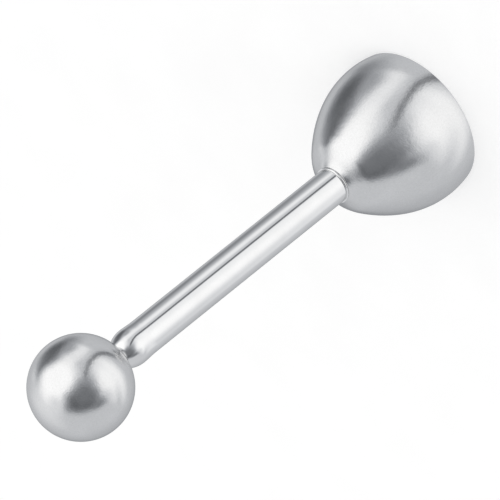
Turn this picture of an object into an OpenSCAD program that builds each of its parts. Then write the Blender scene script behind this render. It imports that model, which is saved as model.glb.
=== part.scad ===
// Egg topper with a spring-driven striker, standing on the rim of its cup.
// Z runs up the common axis of every piece. The origin is the centre of the cup's rim, on the
// surface that it stands on. The ball is pulled up against the spring and let go, and the
// striker on the end of its rod hits the anvil plug behind the cup.

/* [Cup] */
// Outer diameter of the cup at its widest
cup_d = 38.3; // [34:0.1:44]
// Outer diameter of the cup at its rim
rim_d = 37; // [32:0.1:44]
// Height of the cup, from its rim to its flat top
cup_h = 30.2; // [26:0.1:34]
// Height of the widest section above the rim
widest_h = 5.4; // [3:0.1:9]
// Thickness of the drawn sheet
cup_wall = 0.9; // [0.6:0.05:1.5]
// Outer radius of the rounded crown, between the dome and the flat top
crown_r = 8; // [6:0.1:10]
// Slope at which the crown runs into the dome
crown_angle = 47.5; // [46:0.5:50]
// Slope at which the crown ends on the flat top
seat_angle = 12; // [5:0.5:20]
// How far the flat top reaches past the tube, all round
seat_lip = 0.15; // [0.1:0.05:1]
// Bevel on the outer edge of the ground rim
rim_bevel = 0.25; // [0.1:0.05:0.4]

/* [Handle tube] */
// Outer diameter of the tube
tube_d = 9; // [8.6:0.1:12]
// Wall of the tube
tube_wall = 0.8; // [0.5:0.05:1]
// Length of the tube, with its closed-in nose
tube_len = 76.1; // [70:0.1:100]
// Length of the nose that is spun in towards the rod
nose_len = 4.8; // [4:0.1:9]
// How far the tube swells out, all round, just before the nose
nose_swell = 0.18; // [0.05:0.01:0.3]
// Length of the tube over which it swells
swell_len = 3.9; // [2:0.1:6]
// Bevel on the tube's lower end
tube_bevel = 0.15; // [0.1:0.05:0.4]

/* [Collar ring] */
// Thickness of the ring between the tube and the cup
ring_t = 0.5; // [0.3:0.1:1.5]
// How far the ring stands out past the tube, all round
ring_lip = 0.4; // [0.1:0.05:0.6]
// Bevel on both edges of the ring
ring_bevel = 0.14; // [0.05:0.01:0.14]

/* [Cup screw and anvil plug] */
// Thread diameter of the screw that holds the cup
screw_d = 4; // [3:0.5:4]
// Length of the screw under its head
screw_len = 8; // [7:0.5:12]
// Diameter of the pan head
head_d = 8; // [7:0.1:9]
// Height of the pan head
head_h = 2.8; // [2.2:0.1:3.4]
// Length of each arm of the cross recess, from end to end
recess_len = 4.4; // [3:0.1:5]
// Width of the cross recess
recess_w = 0.9; // [0.6:0.05:1.2]
// Depth of the cross recess
recess_depth = 1.7; // [1:0.1:2]
// Thickness of the split lock washer
lock_t = 0.9; // [0.6:0.1:1.2]
// Width of the lock washer's band
lock_band = 1.6; // [1.2:0.1:1.8]
// Opening of the lock washer's split
lock_split = 0.6; // [0.3:0.05:1]
// Solid metal of the plug between the end of the screw hole and the struck face
anvil_t = 2.8; // [2:0.1:5]

/* [Plunger] */
// Diameter of the ball
ball_d = 25; // [20:0.1:30]
// Gap between the ball and the nose at rest
ball_gap = 0.3; // [0.2:0.1:3]
// Flat that the rod's hole is drilled from, under the ball
ball_land_d = 5.6; // [5:0.1:7]
// Length of the rod inside the ball
ball_grip = 10; // [6:0.5:14]
// Diameter of the rod
rod_d = 4; // [3.5:0.1:4.5]
// Thread diameter of the rod's lower end
rod_thread_d = 3; // [2:0.5:3]
// Length of that thread inside the striker
striker_grip = 10; // [5:0.5:11]
// Length of the striker
striker_len = 14; // [12:0.5:18]
// Width of the lock nut across its flats
nut_flats = 5.5; // [5.2:0.1:5.8]
// Height of the lock nut
nut_h = 2.4; // [1.8:0.1:3]
// Thickness of the washer under the spring
washer_t = 0.5; // [0.3:0.1:1]
// Length of the guide bush below the nose
bush_len = 7; // [3:0.5:10]
// Height that the ball can be pulled up
travel = 15; // [8:0.5:18]

/* [Spring] */
// Diameter of the spring's wire
wire_d = 0.8; // [0.6:0.05:0.9]
// Gap between the turns when the spring is pressed as far as it goes
turn_gap_min = 0.05; // [0.03:0.01:0.15]

/* [Fits] */
// Radial clearance of the striker in the tube
striker_clear = 0.1; // [0.05:0.01:0.1]
// Radial clearance of the rod in its bush
rod_clear = 0.03; // [0.02:0.01:0.06]
// Radial clearance of the rod in the nose and in the washer that slides on it
loose_clear = 0.1; // [0.06:0.01:0.1]
// Radial clearance of the sliding washer in the tube
washer_clear = 0.2; // [0.15:0.01:0.3]
// Radial clearance of the screw in the cup, the ring and the lock washer
screw_clear = 0.15; // [0.1:0.01:0.25]
// Room past the end of a thread in its blind hole
thread_room = 0.5; // [0.3:0.1:1]
// Bevel on the edges of the turned pieces
edge_bevel = 0.4; // [0.2:0.05:0.5]

/* [Hidden] */
$fn = 96;
eps = 0.01;

cup_r = cup_d / 2;
rim_r = rim_d / 2;
tube_r = tube_d / 2;
bore_r = tube_r - tube_wall;
rod_r = rod_d / 2;
nose_hole_r = rod_r + loose_clear;
screw_r = screw_d / 2;
screw_hole_r = screw_r + screw_clear;
seat_r = tube_r + seat_lip;

// Heights, from the rim up
lock_z = cup_h - cup_wall - lock_t;
ring_z = cup_h;
tube_z = ring_z + ring_t;
screw_end_z = lock_z + screw_len;
anvil_z = screw_end_z + thread_room + anvil_t;
nut_z = anvil_z + striker_len;
washer_z = nut_z + nut_h;
spring_z0 = washer_z + washer_t;
nose_end_z = tube_z + tube_len;
nose_z = nose_end_z - nose_len;
bush_z = nose_z - bush_len;
spring_z1 = bush_z;
ball_low_z = nose_end_z + ball_gap;
ball_z = ball_low_z + ball_d / 2;

// Nose: two arcs about one centre, which end where the wall meets the hole round the rod
nose_drop = tube_r + nose_swell - nose_hole_r - tube_wall;
nose_r = (pow(nose_len, 2) + pow(nose_drop, 2)) / (2 * nose_drop);
nose_x = tube_r + nose_swell - nose_r;

// Spring: the wire's centre line runs midway between the rod and the tube's bore
turn_gap_open = 0.45;
coil_r = (rod_r + bore_r) / 2;
spring_len = spring_z1 - spring_z0;
turns_for_travel = (spring_len - travel) / (wire_d + turn_gap_min);
turns_that_clear = spring_len / (wire_d + turn_gap_open);
turns = floor(min(turns_for_travel, turns_that_clear));
ground_depth = 0.3 * wire_d;
rings_per_turn = 8;
wire_sides = 6;

// ---- Outlines ----

// Half outline of the cup, from the rim up: skirt, dome, crown and the edge of the flat top.
// r is the widest radius, rim the rim's, k the crown's and seat the flat top's, and h is the
// height. The dome's power is the one with which it meets the crown at the crown angle: 2 would
// be a parabola.
function cup_outline(r, rim, h, k, seat) =
    let (
        join_z = h - k * (cos(seat_angle) - cos(crown_angle)),
        join_r = seat + k * (sin(crown_angle) - sin(seat_angle)),
        power = (join_z - widest_h) / (tan(crown_angle) * (r - join_r))
    )
    concat(
        [for (i = [0:7]) let (s = 1 - i / 8) [r - (r - rim) * s * s, widest_h * (1 - s)]],
        [for (i = [0:15])
            let (s = i / 16)
            [r - (r - join_r) * pow(s, power), widest_h + (join_z - widest_h) * s]],
        [for (i = [0:8])
            let (a = crown_angle + (seat_angle - crown_angle) * i / 8)
            [seat + k * (sin(a) - sin(seat_angle)), h - k * (cos(seat_angle) - cos(a))]]
    );

// Side of the tube as it swells, up to the start of the nose
swell_outline = [
    for (i = [0:7])
        let (s = i / 8)
        [tube_r + nose_swell * s * s * (3 - 2 * s), nose_z - swell_len * (1 - s)]
];

// Arc of radius r about the nose's centre, from the start of the nose in to radius end_r
function nose_arc(r, end_r) =
    let (end_angle = acos((end_r - nose_x) / r))
    [for (i = [0:12])
        let (a = end_angle * i / 12)
        [nose_x + r * cos(a), nose_z + r * sin(a)]];

function backwards(points) = [for (i = [len(points) - 1:-1:0]) points[i]];

// Solid of revolution between an outer and an inner outline, both listed upwards
module shell(outer, inner) {
    rotate_extrude() polygon(concat(outer, backwards(inner)));
}

// Turned cylinder standing on z, with a bevel on both ends
module turned(r, z, length, bevel) {
    translate([0, 0, z])
        rotate_extrude()
            polygon([
                [0, 0], [r - bevel, 0], [r, bevel],
                [r, length - bevel], [r - bevel, length], [0, length]
            ]);
}

module bore(r, z0, z1) {
    translate([0, 0, z0]) cylinder(r = r, h = z1 - z0);
}

module washer(outer_r, inner_r, z, t) {
    difference() {
        translate([0, 0, z]) cylinder(r = outer_r, h = t);
        bore(inner_r, z - 1, z + t + 1);
    }
}

// ---- Spring ----

// Height of the wire's centre line after a number of turns. The last turn at each end lies at
// the least pitch, and the middle turns share what is left.
end_pitch = wire_d + turn_gap_open;
coil_len = spring_len - wire_d + 2 * ground_depth;
mid_pitch = (coil_len - 2 * end_pitch) / (turns - 2);
function coil_height(t) =
    t < 1 ? t * end_pitch
    : t < turns - 1 ? end_pitch + (t - 1) * mid_pitch
    : coil_len - (turns - t) * end_pitch;

coil_z0 = spring_z0 + wire_d / 2 - ground_depth;
coil_rings = turns * rings_per_turn;

// Corner j of ring i on the wire's surface
function wire_point(i, j) =
    let (
        t = i / rings_per_turn,
        side = 360 * j / wire_sides,
        r = coil_r + wire_d / 2 * cos(side)
    )
    [r * cos(360 * t), r * sin(360 * t), coil_z0 + coil_height(t) + wire_d / 2 * sin(side)];

wire_points = [for (i = [0:coil_rings]) for (j = [0:wire_sides - 1]) wire_point(i, j)];

// Sides of the wire as triangles, and a fan on each end
wire_faces = concat(
    [for (i = [0:coil_rings - 1]) for (j = [0:wire_sides - 1])
        [i * wire_sides + j, (i + 1) * wire_sides + j, i * wire_sides + (j + 1) % wire_sides]],
    [for (i = [0:coil_rings - 1]) for (j = [0:wire_sides - 1])
        [
            (i + 1) * wire_sides + j,
            (i + 1) * wire_sides + (j + 1) % wire_sides,
            i * wire_sides + (j + 1) % wire_sides
        ]],
    [for (j = [1:wire_sides - 2]) [0, j, j + 1]],
    [for (j = [1:wire_sides - 2])
        [coil_rings * wire_sides, coil_rings * wire_sides + j + 1, coil_rings * wire_sides + j]]
);

// Least distance between the wire's surface and its own next turn
turn_gap = min([
    for (i = [0:coil_rings - rings_per_turn]) for (j = [0:wire_sides - 1])
        for (k = [0:wire_sides - 1])
            norm(wire_point(i, j) - wire_point(i + rings_per_turn, k))
]);
echo(str("spring: ", turns, " turns, least gap between turns ", turn_gap, " mm"));

// ---- Pieces that stay with the handle ----

// Drawn cup: open below, with a flat top that the handle is screwed to
module cup() {
    outer = cup_outline(cup_r, rim_r, cup_h, crown_r, seat_r);
    inner = cup_outline(
        cup_r - cup_wall, rim_r - cup_wall, cup_h - cup_wall, crown_r - cup_wall,
        seat_r - cup_wall * sin(seat_angle)
    );
    bevelled = concat(
        [[rim_r - rim_bevel, 0], [rim_r, rim_bevel]],
        [for (p = outer) if (p[1] > rim_bevel) p]
    );
    color("lightgray")
        difference() {
            shell(
                concat(bevelled, [[0, cup_h]]),
                concat(inner, [[0, cup_h - cup_wall]])
            );
            bore(screw_hole_r, cup_h - cup_wall - 1, cup_h + 1);
        }
}

// Pan-head screw, pointing up, with a cross recess
module cup_screw() {
    dome_r = (pow(head_d / 2, 2) + pow(head_h / 2, 2)) / head_h;
    color("silver")
        difference() {
            union() {
                intersection() {
                    bore(head_d / 2, lock_z - head_h, lock_z);
                    translate([0, 0, lock_z - head_h + dome_r]) sphere(r = dome_r);
                }
                turned(screw_r, lock_z - head_h / 2, screw_len + head_h / 2, edge_bevel);
            }
            intersection() {
                for (a = [0, 90])
                    translate([0, 0, lock_z - head_h])
                        rotate([0, 0, a])
                            cube([recess_len, recess_w, 2 * recess_depth], center = true);
                translate([0, 0, lock_z - head_h - eps])
                    cylinder(r1 = recess_len / 2, r2 = recess_w / 2, h = recess_depth + eps);
            }
        }
}

// Spring lock washer: a flat ring, cut through at a slant
module lock_washer() {
    color("darkgray")
        difference() {
            washer(screw_hole_r + lock_band, screw_hole_r, lock_z, lock_t);
            translate([screw_hole_r + lock_band / 2, 0, lock_z + lock_t / 2])
                rotate([20, 0, 0])
                    cube([lock_band + 1, lock_split, 3 * lock_t], center = true);
        }
}

// Thin ring that the tube seats on
module collar_ring() {
    color("whitesmoke")
        difference() {
            turned(tube_r + ring_lip, ring_z, ring_t, ring_bevel);
            bore(screw_hole_r, ring_z - 1, tube_z + 1);
        }
}

// Plug in the tube's lower end: tapped for the screw below, struck on its upper face
module anvil_plug() {
    color("gray")
        difference() {
            turned(bore_r, tube_z, anvil_z - tube_z, edge_bevel);
            bore(screw_r, tube_z - 1, screw_end_z + thread_room);
        }
}

// Handle: a plain tube that swells a little and is then spun in to a nose round the rod
module handle_tube() {
    color("gainsboro")
        shell(
            concat(
                [[tube_r - tube_bevel, tube_z], [tube_r, tube_z + tube_bevel]],
                swell_outline,
                nose_arc(nose_r, nose_hole_r + tube_wall),
                [[nose_hole_r, nose_end_z]]
            ),
            concat([[bore_r, tube_z]], nose_arc(bore_r - nose_x, nose_hole_r))
        );
}

// Guide bush, pressed up against the start of the nose
module neck_bush() {
    color("goldenrod")
        difference() {
            translate([0, 0, bush_z])
                rotate_extrude()
                    polygon([
                        [0, 0], [bore_r, 0], [bore_r, bush_len],
                        [bore_r - edge_bevel, bush_len + edge_bevel], [0, bush_len + edge_bevel]
                    ]);
            bore(rod_r + rod_clear, bush_z - 1, nose_z + edge_bevel + 1);
        }
}

// Compression spring with open ends, ground flat where it meets the washer and the bush
module return_spring() {
    color("slategray")
        intersection() {
            polyhedron(points = wire_points, faces = wire_faces, convexity = 10);
            bore(bore_r, spring_z0, spring_z1);
        }
}

// ---- Pieces that slide ----

// Washer between the spring and the lock nut, so that the ball can turn without the spring
module thrust_washer() {
    color("silver") washer(bore_r - washer_clear, rod_r + loose_clear, washer_z, washer_t);
}

// Steel slug that hits the anvil plug
module striker() {
    color("dimgray")
        difference() {
            turned(bore_r - striker_clear, anvil_z, striker_len, edge_bevel);
            bore(rod_thread_d / 2, nut_z - striker_grip - thread_room, nut_z + 1);
        }
}

// Nut that locks the striker on the rod, with its corners turned off at both ends
module rod_nut() {
    corner_r = nut_flats / 2 / cos(30);
    color("silver")
        difference() {
            intersection() {
                translate([0, 0, nut_z]) cylinder(r = corner_r, h = nut_h, $fn = 6);
                turned(corner_r, nut_z, nut_h, corner_r - nut_flats / 2);
            }
            bore(rod_thread_d / 2, nut_z - 1, nut_z + nut_h + 1);
        }
}

// Round rod, stepped down below its shoulder on the nut
module plunger_rod() {
    tip_z = nut_z - striker_grip;
    top_z = ball_low_z + ball_grip;
    color("gainsboro")
        union() {
            turned(rod_thread_d / 2, tip_z, washer_z - tip_z + 1, edge_bevel);
            turned(rod_r, washer_z, top_z - washer_z, edge_bevel / 2);
        }
}

// Solid ball, screwed on the rod's upper end
module ball_knob() {
    land_z = ball_z - sqrt(pow(ball_d / 2, 2) - pow(ball_land_d / 2, 2));
    color("lightgray")
        difference() {
            translate([0, 0, ball_z]) sphere(d = ball_d);
            bore(ball_land_d, ball_low_z - 1, land_z);
            bore(rod_r, ball_low_z - 1, ball_low_z + ball_grip + thread_room);
        }
}

cup();
cup_screw();
lock_washer();
collar_ring();
anvil_plug();
handle_tube();
neck_bush();
return_spring();
thrust_washer();
striker();
rod_nut();
plunger_rod();
ball_knob();
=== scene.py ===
"""Looks of the egg topper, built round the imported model.

Metres, in the model's frame: +Z runs up the handle's axis from the cup's rim, at z = 0, to the ball.
"""

import bisect
import math

import bmesh
import bpy
from mathutils import Matrix, Vector


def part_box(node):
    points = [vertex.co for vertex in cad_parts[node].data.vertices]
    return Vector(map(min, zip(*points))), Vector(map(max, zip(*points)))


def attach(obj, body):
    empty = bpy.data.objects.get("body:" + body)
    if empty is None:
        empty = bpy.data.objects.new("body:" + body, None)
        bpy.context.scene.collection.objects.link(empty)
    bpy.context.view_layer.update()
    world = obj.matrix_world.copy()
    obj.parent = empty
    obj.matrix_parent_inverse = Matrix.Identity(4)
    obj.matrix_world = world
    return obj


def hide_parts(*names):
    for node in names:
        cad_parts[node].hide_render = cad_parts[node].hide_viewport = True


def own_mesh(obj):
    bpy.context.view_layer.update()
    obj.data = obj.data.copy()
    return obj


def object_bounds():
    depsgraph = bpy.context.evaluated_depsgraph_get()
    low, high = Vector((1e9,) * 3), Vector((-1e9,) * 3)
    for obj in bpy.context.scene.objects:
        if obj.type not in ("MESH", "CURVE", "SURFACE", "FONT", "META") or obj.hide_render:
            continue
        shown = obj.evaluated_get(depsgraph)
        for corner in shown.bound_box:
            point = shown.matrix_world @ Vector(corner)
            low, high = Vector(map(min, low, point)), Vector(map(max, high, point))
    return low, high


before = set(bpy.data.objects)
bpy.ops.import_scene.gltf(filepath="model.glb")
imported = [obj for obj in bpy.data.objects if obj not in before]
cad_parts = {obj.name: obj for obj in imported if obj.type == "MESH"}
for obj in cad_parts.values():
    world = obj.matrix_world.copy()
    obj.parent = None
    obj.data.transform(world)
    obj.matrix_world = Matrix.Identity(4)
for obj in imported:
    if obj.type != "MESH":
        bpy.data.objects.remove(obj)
cad_low, cad_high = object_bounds()

MM = 0.001
UM = 0.000001
TAU = 2 * math.pi


# ---- Sizes: boxes from the frame, and the few that no box gives ----

cup_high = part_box("cup")[1]
tube_low, tube_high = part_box("handle_tube")
ring_low, ring_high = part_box("collar_ring")
ball_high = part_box("ball_knob")[1]
rod_low, rod_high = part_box("plunger_rod")
nut_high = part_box("rod_nut")[1]
screw_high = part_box("cup_screw")[1]
lock_low, lock_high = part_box("lock_washer")
spring_low, spring_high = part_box("return_spring")

CUP_WALL = 0.9 * MM
RIM_R = 18.5 * MM
RIM_ROUND = 0.25 * MM
RIM_INNER_ROUND = 0.12 * MM
WIDEST_H = 5.4 * MM
SCREW_HOLE_R = 2.15 * MM
HOLE_ROUND = 0.1 * MM

# The CAD's crown: an arc between these two slopes, down from the seat of the ring.
SEAT_R = 4.65 * MM
SEAT_ANGLE = math.radians(12)
CROWN_R = 8 * MM
CROWN_ANGLE = math.radians(47.5)

# The crown that shows, from the ring out: slopes, and the radii where they hold.
NECK_SLOPE = math.radians(40)
WAIST_R = 6.3 * MM
WAIST_SLOPE = math.radians(29)
SHOULDER_R = 9.2 * MM
SHOULDER_SLOPE = math.radians(35)
DOME_END_R = 10.2 * MM

SKIRT_STEPS = 8
DOME_STEPS = 48
CROWN_STEPS = 8
CUP_STEPS = 96
CUP_EASE = 0.7 * MM
EASE_SIDE = 8                        # samples on each side of a point

TUBE_WALL = 0.8 * MM
TUBE_END_ROUND = 0.15 * MM
BORE_ROUND = 0.1 * MM
NOSE_LEN = 4.8 * MM
NOSE_HOLE_R = 2.1 * MM
NOSE_ROUND = 0.1 * MM
NOSE_SWELL = 0.18 * MM
SWELL_LEN = 3.9 * MM
TUBE_STEPS = 24
SWELL_STEPS = 20
NOSE_STEPS = 28

RING_ROUND = 0.24 * MM
RING_BORE_ROUND = 0.05 * MM

BALL_LAND_R = 2.8 * MM
BALL_LAND_BEVEL = 0.1 * MM
BALL_HOLE_BEVEL = 0.15 * MM
BALL_HOLE_SPARE = 0.5 * MM

ROD_TIP_R = 1.5 * MM
ROD_TIP_ROUND = 0.3 * MM
ROD_ROUND = 0.2 * MM

LOCK_ROUND = 0.12 * MM
LOCK_HALF_GAP = 0.36 * MM
LOCK_SLANT = math.radians(20)
LOCK_STEPS = 120

SCREW_HEAD_H = 2.8 * MM
SCREW_HEAD_BEVEL = 0.1 * MM
SHANK_R = 2.0 * MM
SHANK_BEVEL = 0.4 * MM

# The cross recess, in mm: depth under the head's top, and each arm's reach and half width there.
RECESS = ((-0.4, 2.45, 0.52), (0.0, 2.2, 0.48), (1.3, 1.05, 0.36), (1.7, 0.4, 0.2))

WIRE_D = 0.8 * MM
SPRING_TURNS = 27
SPRING_END_GAP = 0.45 * MM
GROUND = 0.3 * WIRE_D                # ground off each end
STEPS_A_TURN = 24
WIRE_SIDES = 12


# ---- Outlines, as (radius, height) points that run anticlockwise round the metal ----

def arc(centre, radius, start, end, steps):
    """Points on an arc, from one angle to another, both ends included. Angles are in degrees."""
    points = []
    for i in range(steps + 1):
        a = math.radians(start + (end - start) * i / steps)
        points.append((centre[0] + radius * math.cos(a), centre[1] + radius * math.sin(a)))
    return points


def rounded(corners, steps=5):
    """A closed outline from (radius, height, rounding) corners."""
    outline = []
    count = len(corners)
    for i, (r, z, rounding) in enumerate(corners):
        here = Vector((r, z))
        if rounding <= 0:
            outline.append((r, z))
            continue
        back = (Vector(corners[i - 1][:2]) - here).normalized()
        ahead = (Vector(corners[(i + 1) % count][:2]) - here).normalized()
        half = back.angle(ahead) / 2
        reach = rounding / math.tan(half)
        middle = here + (back + ahead).normalized() * (rounding / math.sin(half))
        first = here + back * reach - middle
        sweep = first.angle_signed(here + ahead * reach - middle)
        for k in range(steps + 1):
            turn = Matrix.Rotation(-sweep * k / steps, 2)
            point = middle + turn @ first
            outline.append((point.x, point.y))
    return outline


def cup_outline(widest_r, rim_r, height, crown_r, seat_r, inside=0.0):
    """The cup's half outline, from the rim up: skirt, dome and crown.

    inside is 0 for the outer side, and the wall's thickness for the inner one.
    """
    # The dome is the CAD's: a power curve that would meet the CAD's crown arc without an edge.
    join_z = height - crown_r * (math.cos(SEAT_ANGLE) - math.cos(CROWN_ANGLE))
    join_r = seat_r + crown_r * (math.sin(CROWN_ANGLE) - math.sin(SEAT_ANGLE))
    power = (join_z - WIDEST_H) / (math.tan(CROWN_ANGLE) * (widest_r - join_r))
    points = []
    for i in range(1, SKIRT_STEPS):
        s = 1 - i / SKIRT_STEPS
        points.append((widest_r - (widest_r - rim_r) * s * s, WIDEST_H * (1 - s)))
    for i in range(DOME_STEPS):
        s = i / DOME_STEPS
        r = widest_r - (widest_r - join_r) * s ** power
        if r > DOME_END_R - inside * math.sin(CROWN_ANGLE):
            points.append((r, WIDEST_H + (join_z - WIDEST_H) * s))
    # The crown is a shallow bell inside that arc: its slope eases from neck to waist, and
    # grows again to the shoulder.
    stops = [
        (seat_r, NECK_SLOPE),
        (WAIST_R - inside * math.sin(WAIST_SLOPE), WAIST_SLOPE),
        (SHOULDER_R - inside * math.sin(SHOULDER_SLOPE), SHOULDER_SLOPE),
    ]
    crown = [(seat_r, height)]
    for (from_r, from_slope), (to_r, to_slope) in zip(stops, stops[1:]):
        step = (to_r - from_r) / CROWN_STEPS
        for i in range(CROWN_STEPS):
            slope = from_slope + (to_slope - from_slope) * (i + 0.5) / CROWN_STEPS
            r, z = crown[-1]
            crown.append((r + step, z - step * math.tan(slope)))
    points += reversed(crown)
    return eased(points, CUP_EASE, CUP_STEPS)


def eased(points, reach, steps):
    """The same outline with its bends eased: each point is the mean of the outline near it.

    reach is how far the mean goes along the outline, less near the outline's ends.
    """
    lengths = [0.0]
    for a, b in zip(points, points[1:]):
        lengths.append(lengths[-1] + math.dist(a, b))

    def at(length):
        i = min(max(bisect.bisect_right(lengths, length), 1), len(points) - 1)
        share = (length - lengths[i - 1]) / (lengths[i] - lengths[i - 1])
        return Vector(points[i - 1]).lerp(Vector(points[i]), share)

    result = []
    for k in range(steps + 1):
        here = lengths[-1] * k / steps
        span = min(reach, here, lengths[-1] - here)
        near = [at(here + span * j / EASE_SIDE) for j in range(-EASE_SIDE, EASE_SIDE + 1)]
        result.append(tuple(sum(near, Vector((0.0, 0.0))) / len(near)))
    return result


def nose_arc(wall, end_r):
    """The nose's side, or its bore where wall is the tube's, from its start in to radius end_r."""
    drop = tube_high.x - NOSE_HOLE_R - TUBE_WALL
    nose_r = (NOSE_LEN ** 2 + drop ** 2) / (2 * drop)
    middle = tube_high.x - nose_r
    r = nose_r - wall
    end = math.degrees(math.acos((end_r - middle) / r))
    return arc((middle, tube_high.z - NOSE_LEN), r, 0, end, NOSE_STEPS)


# ---- Meshes ----

ON_AXIS = 1e-7                       # a smaller radius counts as none


def lathe(name, outline, segments, closed=True):
    """Turns an outline about Z, with smooth normals.

    At each corner the longer of the two sides counts more, so that flats stay flat.
    """
    count = len(outline)
    corner_normals = []
    for i in range(count):
        normal = Vector((0.0, 0.0))
        for a, b in ((i - 1, i), (i, i + 1)):
            if closed or (a >= 0 and b < count):
                start, end = outline[a % count], outline[b % count]
                normal += Vector((end[1] - start[1], start[0] - end[0]))
        corner_normals.append(normal.normalized())
    points, normals, rows = [], [], []
    for (r, z), normal in zip(outline, corner_normals):
        if r < ON_AXIS:
            rows.append([len(points)] * segments)
            points.append((0.0, 0.0, z))
            normals.append((0.0, 0.0, math.copysign(1.0, normal.y)))
            continue
        rows.append(list(range(len(points), len(points) + segments)))
        for j in range(segments):
            a = TAU * j / segments
            points.append((r * math.cos(a), r * math.sin(a), z))
            normals.append((normal.x * math.cos(a), normal.x * math.sin(a), normal.y))
    faces = []
    for i in range(count if closed else count - 1):
        low, high = rows[i], rows[(i + 1) % count]
        for j in range(segments):
            k = (j + 1) % segments
            corners = []
            for vertex in (low[j], low[k], high[k], high[j]):
                if vertex not in corners:
                    corners.append(vertex)
            faces.append(corners)
    return mesh_piece(name, points, faces, normals)


def mesh_piece(name, points, faces, normals=None):
    """A smooth mesh object in the scene, with these normals if they are given."""
    mesh = bpy.data.meshes.new(name)
    mesh.from_pydata(points, [], faces)
    mesh.validate()
    mesh.shade_smooth()
    if normals:
        mesh.normals_split_custom_set_from_vertices(normals)
    piece = bpy.data.objects.new(name, mesh)
    bpy.context.scene.collection.objects.link(piece)
    return piece


def finish_piece(piece, material, body, node):
    """Gives a piece its metal and the body that it rides, and hides the CAD node that it stands for."""
    piece.data.materials.clear()
    piece.data.materials.append(material)
    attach(piece, body)
    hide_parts(node)
    return piece


# ---- Node graphs ----

class Graph:
    """A short way to write node trees: inputs are values or other nodes' outputs."""

    def __init__(self, tree):
        self.tree = tree
        tree.nodes.clear()

    def add(self, kind, inputs=None, **settings):
        node = self.tree.nodes.new("ShaderNode" + kind)
        for key, value in settings.items():
            setattr(node, key, value)
        for key, value in (inputs or {}).items():
            if isinstance(value, bpy.types.NodeSocket):
                self.tree.links.new(value, node.inputs[key])
            else:
                node.inputs[key].default_value = value
        return node

    def math(self, operation, a, b=0.0):
        return self.add("Math", {0: a, 1: b}, operation=operation).outputs[0]

    def dot(self, a, b):
        return self.add("VectorMath", {0: a, 1: b}, operation="DOT_PRODUCT").outputs["Value"]

    def ramp(self, value, low, high, out_low=0.0, out_high=1.0, smooth=True):
        inputs = {
            "Value": value, "From Min": low, "From Max": high, "To Min": out_low, "To Max": out_high,
        }
        kind = "SMOOTHSTEP" if smooth else "LINEAR"
        return self.add("MapRange", inputs, interpolation_type=kind).outputs["Result"]

    def mix(self, share, a, b):
        inputs = {"Factor": share, "A": a, "B": b}
        return self.add("Mix", inputs, data_type="FLOAT").outputs["Result"]


def new_graph(name):
    """A new material, and the graph of its nodes."""
    material = bpy.data.materials.new(name)
    material.use_nodes = True
    return material, Graph(material.node_tree)


def turning_coordinate(g, along, around):
    """A coordinate for marks that run round the axis: fine along the outline, slow round it."""
    place = g.add("TexCoord").outputs["Object"]
    parts = g.add("SeparateXYZ", {0: place}).outputs
    flat = g.add("CombineXYZ", {0: parts[0], 1: parts[1], 2: 0.0}).outputs[0]
    radius = g.add("VectorMath", {0: flat}, operation="LENGTH").outputs["Value"]
    outward = g.add("VectorMath", {0: flat}, operation="NORMALIZE").outputs[0]
    outward_parts = g.add("SeparateXYZ", {0: outward}).outputs
    run = g.math("SUBTRACT", parts[2], radius)
    return g.add("CombineXYZ", {
        0: g.math("MULTIPLY", outward_parts[0], around),
        1: g.math("MULTIPLY", outward_parts[1], around),
        2: g.math("MULTIPLY", run, along),
    }).outputs[0]


def noise(g, vector, scale, detail=2.0, roughness=0.5):
    """Noise from 0 to 1. Scales are per metre."""
    inputs = {"Vector": vector, "Scale": scale, "Detail": detail, "Roughness": roughness}
    return g.add("TexNoise", inputs).outputs["Fac"]


CLOUD_SCALE = 160.0
FLECK_SCALE = 2000.0
GRAIN_ROUGHNESS = 0.6
MARK_SCALES = (5200.0, 5.0)          # along the outline and round the axis
EDGE_TINT = 0.85                     # what the metals give back of grazing light


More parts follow.
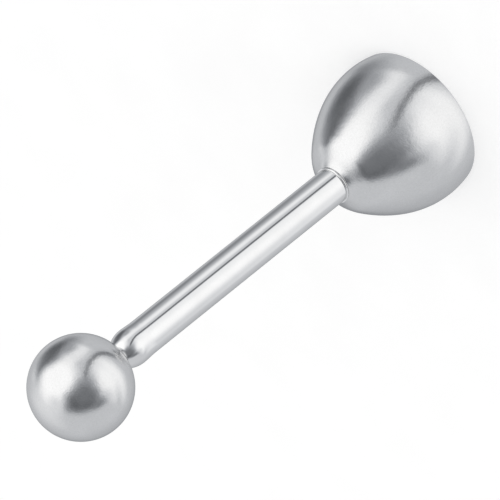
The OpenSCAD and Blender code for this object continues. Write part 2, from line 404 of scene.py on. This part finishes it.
def metal(name, colour, roughness, spread, grains, wave, ring_depth=0.0, tint=0.03, flecks=0.012):
    """Bare metal: clouds and flecks of colour, uneven roughness, a slight wave and fine grains.

    grains are (scale, depth) pairs and wave is one. ring_depth is for turning marks, where it has
    some. These depths are in metres. spread is how far the roughness goes up and down, and tint and
    flecks are that for the colour.
    """
    material, g = new_graph(name)
    place = g.add("TexCoord").outputs["Object"]
    cloud = noise(g, place, CLOUD_SCALE, 3.0)
    shade = g.ramp(cloud, 0.25, 0.75, 1.0 - tint, 1.0 + tint, smooth=False)
    speck = noise(g, place, FLECK_SCALE, roughness=GRAIN_ROUGHNESS)
    fleck = g.ramp(speck, 0.2, 0.8, 1.0 - flecks, 1.0 + flecks, smooth=False)
    shade = g.math("MULTIPLY", shade, fleck)
    base = g.add("VectorMath", {0: colour, "Scale": shade}, operation="SCALE").outputs[0]
    wave_scale, wave_depth = wave
    swell = noise(g, place, wave_scale)
    normal = g.add("Bump", {"Strength": 1.0, "Distance": wave_depth, "Height": swell}).outputs[0]
    # The roughness follows the clouds and the grains, half each.
    mottle = g.math("MULTIPLY", cloud, 0.5)
    for scale, depth in grains:
        grain = noise(g, place, scale, roughness=GRAIN_ROUGHNESS)
        mottle = g.math("ADD", mottle, g.math("MULTIPLY", grain, 0.5 / len(grains)))
        inputs = {"Strength": 1.0, "Distance": depth, "Height": grain, "Normal": normal}
        normal = g.add("Bump", inputs).outputs[0]
    if ring_depth > 0:
        marks = noise(g, turning_coordinate(g, *MARK_SCALES), 1.0, 3.0, GRAIN_ROUGHNESS)
        inputs = {"Strength": 1.0, "Distance": ring_depth, "Height": marks, "Normal": normal}
        normal = g.add("Bump", inputs).outputs[0]
    rough = g.ramp(mottle, 0.3, 0.7, roughness - spread, roughness + spread, smooth=False)
    shader = g.add("BsdfPrincipled", {
        "Base Color": base, "Metallic": 1.0, "Roughness": rough, "Normal": normal,
        "Specular Tint": (EDGE_TINT, EDGE_TINT, EDGE_TINT, 1.0),
    })
    g.add("OutputMaterial", {"Surface": shader.outputs[0]})
    return material


FINE = [(5200.0, 2.2 * UM)]
SMALL_WAVE = (300.0, 8 * UM)
satin = metal(
    "satin_steel", (0.80, 0.80, 0.80), 0.18, 0.05,
    grains=FINE + [(2300.0, 10 * UM), (1000.0, 18 * UM)], wave=(240.0, 22 * UM),
    ring_depth=0.8 * UM, tint=0.035, flecks=0.035,
)
polished = metal(
    "polished_steel", (0.86, 0.86, 0.86), 0.09, 0.02,
    grains=[(1900.0, 1.2 * UM)], wave=(300.0, 6 * UM),
)
fastener = metal("fastener_steel", (0.66, 0.66, 0.66), 0.24, 0.05, FINE, SMALL_WAVE)
turned = metal("turned_steel", (0.52, 0.52, 0.525), 0.32, 0.05, FINE, SMALL_WAVE, ring_depth=6 * UM)
brass = metal("bush_brass", (0.80, 0.62, 0.30), 0.26, 0.05, FINE, SMALL_WAVE, ring_depth=5 * UM)
wire_steel = metal("spring_wire", (0.42, 0.42, 0.43), 0.30, 0.05, FINE, SMALL_WAVE)


# ---- Pieces ----

def make_cup():
    """The drawn cup: its outer side, the seat with the screw's hole, and its inner side."""
    outer = cup_outline(cup_high.x, RIM_R, cup_high.z, CROWN_R, SEAT_R)
    inner = cup_outline(
        cup_high.x - CUP_WALL, RIM_R - CUP_WALL, cup_high.z - CUP_WALL, CROWN_R - CUP_WALL,
        SEAT_R - CUP_WALL * math.sin(SEAT_ANGLE), inside=CUP_WALL,
    )
    corners = [(RIM_R - CUP_WALL, 0.0, RIM_INNER_ROUND), (RIM_R, 0.0, RIM_ROUND)]
    corners += [(r, z, 0.0) for r, z in outer]
    corners += [
        (SCREW_HOLE_R, cup_high.z, HOLE_ROUND),
        (SCREW_HOLE_R, cup_high.z - CUP_WALL, HOLE_ROUND),
    ]
    corners += [(r, z, 0.0) for r, z in reversed(inner)]
    return lathe("cup_shell", rounded(corners), segments=256)


def make_tube():
    """The tube, with its slight swell before the nose."""
    tube_r = tube_high.x - NOSE_SWELL
    bore_r = tube_r - TUBE_WALL
    swell_z = tube_high.z - NOSE_LEN - SWELL_LEN
    outer = nose_arc(0.0, NOSE_HOLE_R + TUBE_WALL)
    inner = nose_arc(TUBE_WALL + NOSE_SWELL, NOSE_HOLE_R)
    corners = [(bore_r, tube_low.z, BORE_ROUND), (tube_r, tube_low.z, TUBE_END_ROUND)]
    for i in range(1, TUBE_STEPS):
        corners.append((tube_r, tube_low.z + (swell_z - tube_low.z) * i / TUBE_STEPS, 0.0))
    for i in range(SWELL_STEPS):
        s = i / SWELL_STEPS
        corners.append((tube_r + NOSE_SWELL * s * s * (3 - 2 * s), swell_z + SWELL_LEN * s, 0.0))
    corners += [(r, z, 0.0) for r, z in outer[:-1]]
    corners += [(*outer[-1], NOSE_ROUND), (NOSE_HOLE_R, tube_high.z, NOSE_ROUND)]
    corners += [(r, z, 0.0) for r, z in reversed(inner)]
    return lathe("tube_shell", rounded(corners), segments=160)


def make_ring():
    """The thin ring between the cup and the tube, its outer edges rounded."""
    low, high = ring_low.z, ring_high.z
    corners = [
        (SCREW_HOLE_R, low, RING_BORE_ROUND), (ring_high.x, low, RING_ROUND),
        (ring_high.x, high, RING_ROUND), (SCREW_HOLE_R, high, RING_BORE_ROUND),
    ]
    return lathe("collar_band", rounded(corners), segments=160)


def make_ball():
    """The ball, with a small flat below, round the hole for the rod."""
    radius = ball_high.x
    centre_z = ball_high.z - radius
    land_z = centre_z - math.sqrt(radius ** 2 - BALL_LAND_R ** 2)
    hole_r = rod_high.x
    hole_top = rod_high.z + BALL_HOLE_SPARE
    start = -90 + math.degrees(math.asin((BALL_LAND_R + BALL_LAND_BEVEL) / radius))
    outline = [(0.0, hole_top), (hole_r, hole_top), (hole_r, land_z + BALL_HOLE_BEVEL)]
    outline += [(hole_r + BALL_HOLE_BEVEL, land_z), (BALL_LAND_R - BALL_LAND_BEVEL, land_z)]
    outline += arc((0.0, centre_z), radius, start, 90, 128)
    outline[-1] = (0.0, ball_high.z)
    return lathe("ball_body", outline, segments=256, closed=False)


def make_rod():
    """The rod, thinner up to the nut's top, where the nut and the striker hold it."""
    corners = [
        (0.0, rod_low.z, 0.0), (ROD_TIP_R, rod_low.z, ROD_TIP_ROUND), (ROD_TIP_R, nut_high.z, 0.0),
        (rod_high.x, nut_high.z, ROD_ROUND), (rod_high.x, rod_high.z, ROD_ROUND),
        (0.0, rod_high.z, 0.0),
    ]
    return lathe("rod_body", rounded(corners), segments=96, closed=False)


def make_lock_washer():
    """A square ring, cut through at a slant, with its edges rounded."""
    low, high = lock_low.z, lock_high.z
    outer_r = lock_high.y
    corners = [
        (SCREW_HOLE_R, low, LOCK_ROUND), (outer_r, low, LOCK_ROUND),
        (outer_r, high, LOCK_ROUND), (SCREW_HOLE_R, high, LOCK_ROUND),
    ]
    section = rounded(corners, 3)
    half_gap = LOCK_HALF_GAP / outer_r
    points, faces = [], []
    for i in range(LOCK_STEPS + 1):
        turn = half_gap + (TAU - 2 * half_gap) * i / LOCK_STEPS
        for r, z in section:
            a = turn - (z - (low + high) / 2) * math.tan(LOCK_SLANT) / outer_r
            points.append((r * math.cos(a), r * math.sin(a), z))
    count = len(section)
    for i in range(LOCK_STEPS):
        for j in range(count):
            k = (j + 1) % count
            faces.append([i * count + j, i * count + k, (i + 1) * count + k, (i + 1) * count + j])
    faces.append(list(range(count)))
    faces.append([LOCK_STEPS * count + j for j in reversed(range(count))])
    piece = mesh_piece("lock_ring", points, faces)
    sharpen(piece, 40)
    return piece


def sharpen(piece, degrees):
    """Splits the shading at edges sharper than this, and turns faces outwards."""
    edit = bmesh.new()
    edit.from_mesh(piece.data)
    bmesh.ops.recalc_face_normals(edit, faces=edit.faces)
    for edge in edit.edges:
        edge.smooth = len(edge.link_faces) == 2 and edge.calc_face_angle() < math.radians(degrees)
    edit.to_mesh(piece.data)
    edit.free()


def make_screw():
    """Pan head with a cross recess, and its shank up into the plug."""
    bearing = lock_low.z
    head_r = screw_high.x
    top = screw_high.z
    low = bearing - SCREW_HEAD_H
    dome_r = (head_r ** 2 + SCREW_HEAD_H ** 2 / 4) / SCREW_HEAD_H
    edge_z = low + dome_r - math.sqrt(dome_r ** 2 - head_r ** 2)
    half_angle = math.degrees(math.asin(head_r / dome_r))
    outline = arc((0.0, low + dome_r), dome_r, -90, -90 + half_angle, 20)
    outline[0] = (0.0, low)
    outline = outline[:-1]
    outline += [(head_r, edge_z + SCREW_HEAD_BEVEL), (head_r, bearing - SCREW_HEAD_BEVEL)]
    outline += [(head_r - SCREW_HEAD_BEVEL, bearing), (SHANK_R, bearing)]
    outline += [(SHANK_R, top - SHANK_BEVEL), (SHANK_R - SHANK_BEVEL, top), (0.0, top)]
    piece = lathe("screw_body", outline, segments=96, closed=False)
    cutter = cross_cutter(low)
    cut = piece.modifiers.new("recess", "BOOLEAN")
    cut.operation = "DIFFERENCE"
    cut.solver = "EXACT"
    cut.object = cutter
    graph = bpy.context.evaluated_depsgraph_get()
    cut_mesh = bpy.data.meshes.new_from_object(piece.evaluated_get(graph))
    piece.modifiers.clear()
    piece.data = cut_mesh
    piece.data.name = "screw_body"
    bpy.data.objects.remove(cutter)
    sharpen(piece, 32)
    return piece


def cross_cutter(low):
    """Tapered cross that cuts the recess, narrower towards its bottom."""
    points, faces = [], []
    for depth, reach, half in RECESS:
        outline = []
        for quarter in range(4):
            a = quarter * math.pi / 2
            for along, side in ((reach, -half), (reach, half), (half, half)):
                x = along * math.cos(a) - side * math.sin(a)
                y = along * math.sin(a) + side * math.cos(a)
                outline.append((x * MM, y * MM, low + depth * MM))
        points += outline
    count = len(points) // len(RECESS)
    for i in range(len(RECESS) - 1):
        for j in range(count):
            k = (j + 1) % count
            faces.append([i * count + j, i * count + k, (i + 1) * count + k, (i + 1) * count + j])
    faces.append(list(reversed(range(count))))
    faces.append([(len(RECESS) - 1) * count + j for j in range(count)])
    return mesh_piece("recess_cutter", points, faces)


def make_spring():
    """Round wire, wound as the CAD's, with its ends ground flat."""
    wire_r = WIRE_D / 2
    coil_r = spring_high.x - wire_r
    end_pitch = WIRE_D + SPRING_END_GAP
    coil_len = spring_high.z - spring_low.z - WIRE_D + 2 * GROUND
    mid_pitch = (coil_len - 2 * end_pitch) / (SPRING_TURNS - 2)
    rows = SPRING_TURNS * STEPS_A_TURN
    points, faces = [], []
    for i in range(rows + 1):
        t = i / STEPS_A_TURN
        if t < 1:
            height = t * end_pitch
        elif t < SPRING_TURNS - 1:
            height = end_pitch + (t - 1) * mid_pitch
        else:
            height = coil_len - (SPRING_TURNS - t) * end_pitch
        for j in range(WIRE_SIDES):
            a = TAU * j / WIRE_SIDES
            r = coil_r + wire_r * math.cos(a)
            z = spring_low.z + wire_r - GROUND + height + wire_r * math.sin(a)
            z = min(max(z, spring_low.z), spring_high.z)
            points.append((r * math.cos(TAU * t), r * math.sin(TAU * t), z))
    for i in range(rows):
        low, high = i * WIRE_SIDES, (i + 1) * WIRE_SIDES
        for j in range(WIRE_SIDES):
            k = (j + 1) % WIRE_SIDES
            faces.append([low + j, high + j, high + k, low + k])
    faces.append(list(range(WIRE_SIDES)))
    faces.append([rows * WIRE_SIDES + j for j in reversed(range(WIRE_SIDES))])
    piece = mesh_piece("spring_coil", points, faces)
    sharpen(piece, 50)
    return piece


finish_piece(make_cup(), satin, "handle", "cup")
finish_piece(make_tube(), polished, "handle", "handle_tube")
finish_piece(make_ring(), polished, "handle", "collar_ring")
finish_piece(make_ball(), satin, "plunger", "ball_knob")
finish_piece(make_rod(), polished, "plunger", "plunger_rod")
finish_piece(make_lock_washer(), fastener, "handle", "lock_washer")
finish_piece(make_screw(), fastener, "handle", "cup_screw")
spring = finish_piece(make_spring(), wire_steel, "handle", "return_spring")
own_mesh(spring)

# The pieces that keep the CAD's own mesh.
for node, material in {
    "anvil_plug": turned, "striker": turned, "neck_bush": brass,
    "thrust_washer": fastener, "rod_nut": fastener,
}.items():
    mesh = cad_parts[node].data
    for i in range(len(mesh.materials)):
        mesh.materials[i] = material


# ---- Camera, at the photograph's viewing angle ----

IMAGE_SIDE = 500
BALL_PIXEL = (80.82, 387.37)         # the ball's centre in the picture
PIXEL_AT_BALL = 0.22934 * MM         # what one pixel covers there
LENS_PIXELS = 6500                   # focal length, in pixels
AXIS_TILT = math.radians(32.95)      # the handle's axis comes out of the picture, ball first
AXIS_TURN = math.radians(38.71)      # and climbs to the right of the picture by this
SENSOR = 36.0

towards_camera = Vector((0.0, -math.cos(AXIS_TILT), math.sin(AXIS_TILT)))
level_right = Vector((1.0, 0.0, 0.0))
level_up = towards_camera.cross(level_right)
roll = -(math.pi / 2 + AXIS_TURN)
picture_right = math.cos(roll) * level_right + math.sin(roll) * level_up
picture_up = math.cos(roll) * level_up - math.sin(roll) * level_right

ball_centre = Vector((0.0, 0.0, ball_high.z - ball_high.x))
offset_right = (BALL_PIXEL[0] - IMAGE_SIDE / 2) * PIXEL_AT_BALL
offset_up = (IMAGE_SIDE / 2 - BALL_PIXEL[1]) * PIXEL_AT_BALL
distance = LENS_PIXELS * PIXEL_AT_BALL

lens = bpy.data.cameras.new("camera")
lens.sensor_width = SENSOR
lens.lens = SENSOR * LENS_PIXELS / IMAGE_SIDE
lens.clip_start = 0.1
lens.clip_end = 20.0
camera = bpy.data.objects.new("camera", lens)
axes = Matrix((picture_right, picture_up, towards_camera)).transposed()
place = ball_centre - picture_right * offset_right - picture_up * offset_up
camera.matrix_world = Matrix.Translation(place + towards_camera * distance) @ axes.to_4x4()
bpy.context.scene.collection.objects.link(camera)
bpy.context.scene.camera = camera


# ---- Floor ----

FLOOR_R = 3.0
FLOOR_DROP = 0.03 * MM               # just under the rim, so that the two don't flicker
FLOOR_GLOW = 0.335
FLOOR_SHADES = (0.78, 0.80)
FLOOR_CLOUD_SCALE = 60.0


def background_rays(g):
    """1 for the rays that show the background: the camera's, mirrored ones and those through glass."""
    path = g.add("LightPath").outputs
    mirrored = g.math("MAXIMUM", path["Is Glossy Ray"], path["Is Transmission Ray"])
    return g.math("MAXIMUM", path["Is Camera Ray"], mirrored)


def make_floor():
    """A wide disc. The metal doesn't mirror it, as the sphere below has that light."""
    floor = lathe("floor", [(FLOOR_R, 0.0), (0.0, 0.0)], segments=64, closed=False)
    floor.data.materials.append(floor_material())
    floor.location.z = -FLOOR_DROP
    floor.visible_glossy = False
    return floor


def floor_material():
    """Pale diffuse floor that comes out white where it is open to the light, and keeps a shadow."""
    material, g = new_graph("floor_white")
    cloud = noise(g, g.add("TexCoord").outputs["Object"], FLOOR_CLOUD_SCALE)
    shade = g.ramp(cloud, 0.3, 0.7, *FLOOR_SHADES, smooth=False)
    colour = g.add("CombineColor", {0: shade, 1: shade, 2: shade}).outputs[0]
    diffuse = g.add("BsdfDiffuse", {"Color": colour}).outputs[0]
    strength = g.math("MULTIPLY", background_rays(g), FLOOR_GLOW)
    glow = g.add("Emission", {"Color": (1, 1, 1, 1), "Strength": strength})
    both = g.add("AddShader", {0: diffuse, 1: glow.outputs[0]}).outputs[0]
    g.add("OutputMaterial", {"Surface": both})
    return material


make_floor()


# ---- Light ----

def studio_direction(azimuth, elevation):
    """A direction in the model's frame. Azimuth 0 is towards the camera and grows to its right."""
    a, e = math.radians(azimuth), math.radians(elevation)
    out = towards_camera * math.cos(e) * math.cos(a)
    return out + picture_right * math.cos(e) * math.sin(a) + picture_up * math.sin(e)


# One line a panel: kind, brightness and then its angles, in degrees. A later panel covers earlier ones.
# cap: azimuth, elevation, and how far from there it is full and has faded out
# card: azimuth, elevation, width, height and turn, then softness and how square its corners are
# ring: azimuth and elevation of its pole, how far it runs from there, half its width, azimuth and
#       elevation of its middle, and how far from the middle it starts to fade and how fast
PANELS = {
    "ceiling": ("cap", 0.96, -100, 52, 41, 55),
    "right_wall": ("cap", 0.62, 147, 41, 39, 46),
    "back_low": ("card", 0.60, 160, -41, 56, 46, 6, 0.85, 2),
    "back_flag": ("card", 0.55, 173, -21, 60, 56, 0, 0.80, 2.5),
    "back_core": ("card", 0.35, -178, -4, 30, 44, 0, 0.80, 2.5),
    "left_low": ("card", 0.87, -85, -24, 60, 53, 32, 0.95, 8),
    "low_left_flag": ("card", 0.06, -59, 19, 51, 106, 71, 0.65, 4),
    "left_softbox": ("card", 1.19, -52, 11, 81, 78, 32, 0.47, 2.4),
    "back_softbox": ("card", 1.09, 84, 24, 91, 29, -59, 0.95, 1.8),
    "right_softbox": ("card", 1.10, 58, 13, 38, 80, 32, 0.95, 1.3),
    "back_left_flag": ("card", 0.14, -122, 47, 49, 53, -56, 0.80, 4),
    "seam": ("ring", 0.16, 67, 4, 60, 3.6, -17, 79, 50, 26),
    "wide_flag": ("card", 0.05, 1, -31, 61, 38, 8, 0.70, 5),
    "tall_flag": ("card", 0.20, 5, -15, 51, 64, -20, 0.80, 1.4),
    "right_flag": ("card", 0.22, 42, -32, 24, 14, 39, 0.95, 8),
    "right_flag_end": ("card", 0.74, 56, -12, 18, 14, 0, 0.90, 2),
    "left_fill": ("card", 0.82, -60, -31, 22, 26, -7, 0.84, 2.4),
    "right_fill": ("card", 1.12, 56, 12, 37, 36, 0, 0.95, 2),
    "top_left_flag": ("card", 0.40, -103, 67, 25, 18, 0, 0.95, 2),
}
BASE_LEVEL = 0.65                    # where no panel is
SHELL_R = 0.6
DARK_TINT = (0.95, 0.99, 1.06)       # the darker the room, the nearer its colour is to this
CARD_START = (0.02, 0.12)            # cosines between which a panel comes in: it has no double behind
RING_EDGE = (0.4, 1.6)               # a ring's soft edge, in half widths
WORLD_LIGHT = 0.7


def card(g, direction, azimuth, elevation, width, height, turn, soft, power):
    """A soft-edged panel, as a share from 0 to 1."""
    centre = studio_direction(azimuth, elevation)
    side = studio_direction(azimuth + 90, 0)
    up = studio_direction(azimuth, elevation + 90)
    t = math.radians(turn)
    card_right = math.cos(t) * side + math.sin(t) * up
    card_up = math.cos(t) * up - math.sin(t) * side
    ahead = g.dot(direction, centre)
    safe = g.math("MAXIMUM", ahead, 0.05)         # never a division by zero
    reach = 0.0
    for axis, size in ((card_right, width), (card_up, height)):
        across = g.math("DIVIDE", g.dot(direction, axis), safe)
        share = g.math("DIVIDE", g.math("ABSOLUTE", across), math.tan(math.radians(size / 2)))
        reach = g.math("ADD", g.math("POWER", share, power), reach)
    edge = g.math("POWER", reach, 1 / power)
    mask = g.ramp(edge, 1 - soft, 1 + soft, 1.0, 0.0)
    return g.math("MULTIPLY", mask, g.ramp(ahead, *CARD_START))


def ring(g, direction, azimuth, elevation, away, half, mid_azimuth, mid_elevation, reach, fade):
    """Part of a thin ring round a pole, as a share from 0 to 1."""
    pole = studio_direction(azimuth, elevation)
    off = g.math("SUBTRACT", g.dot(direction, pole), math.cos(math.radians(away)))
    across = g.math("DIVIDE", g.math("ABSOLUTE", off), math.sin(math.radians(half)))
    along = g.dot(direction, studio_direction(mid_azimuth, mid_elevation))
    ends = math.cos(math.radians(reach + fade)), math.cos(math.radians(reach))
    return g.math("MULTIPLY", g.ramp(across, *RING_EDGE, 1.0, 0.0), g.ramp(along, *ends))


def cap(g, direction, azimuth, elevation, full, faded):
    """A round part of the room, as a share from 0 to 1."""
    ahead = g.dot(direction, studio_direction(azimuth, elevation))
    return g.ramp(ahead, math.cos(math.radians(faded)), math.cos(math.radians(full)))


def make_shell():
    """The studio that the metal mirrors: a glowing sphere that only glossy rays see."""
    outline = arc((0.0, 0.0), SHELL_R, -90, 90, 64)
    outline[0], outline[-1] = (0.0, -SHELL_R), (0.0, SHELL_R)
    shell = lathe("studio_shell", outline, segments=128, closed=False)
    shell.location = (cad_low + cad_high) / 2
    for ray in ("camera", "diffuse", "transmission", "volume_scatter", "shadow"):
        setattr(shell, "visible_" + ray, False)
    material, g = new_graph("studio_light")
    material.cycles.emission_sampling = "NONE"
    place = g.add("TexCoord").outputs["Object"]
    direction = g.add("VectorMath", {0: place}, operation="NORMALIZE").outputs[0]
    level = BASE_LEVEL
    kinds = {"card": card, "ring": ring, "cap": cap}
    for kind, brightness, *numbers in PANELS.values():
        level = g.mix(kinds[kind](g, direction, *numbers), level, brightness)
    cool = g.ramp(level, 0.1, 1.1, 1.0, 0.0, smooth=False)
    colour = g.add("CombineColor", {
        channel: g.ramp(cool, 0.0, 1.0, 1.0, tint, smooth=False)
        for channel, tint in enumerate(DARK_TINT)
    }).outputs[0]
    glow = g.add("Emission", {"Color": colour, "Strength": level})
    g.add("OutputMaterial", {"Surface": glow.outputs[0]})
    shell.data.materials.append(material)
    return shell


def make_world():
    """White where it shows, and dimmer as the light that falls on things."""
    world = bpy.data.worlds.new("studio")
    world.use_nodes = True
    bpy.context.scene.world = world
    g = Graph(world.node_tree)
    seen = g.mix(background_rays(g), WORLD_LIGHT, 1.0)
    background = g.add("Background", {"Color": (1, 1, 1, 1), "Strength": seen})
    g.add("OutputWorld", {"Surface": background.outputs[0]})


def make_lamp(name, azimuth, elevation, spread, strength):
    """A wide, distant lamp. The metal mirrors the panels instead of it."""
    data = bpy.data.lights.new(name, "SUN")
    data.angle = math.radians(spread)
    data.energy = strength
    lamp = bpy.data.objects.new(name, data)
    a, e = math.radians(azimuth), math.radians(elevation)
    away = Vector((math.sin(a) * math.cos(e), -math.cos(a) * math.cos(e), math.sin(e)))
    lamp.location = away
    lamp.rotation_mode = "QUATERNION"
    lamp.rotation_quaternion = away.to_track_quat("Z", "Y")
    lamp.visible_glossy = False
    bpy.context.scene.collection.objects.link(lamp)


make_shell()
make_world()
make_lamp("key_lamp", azimuth=-12, elevation=55, spread=45, strength=0.58)

bpy.context.scene.view_settings.view_transform = "Standard"
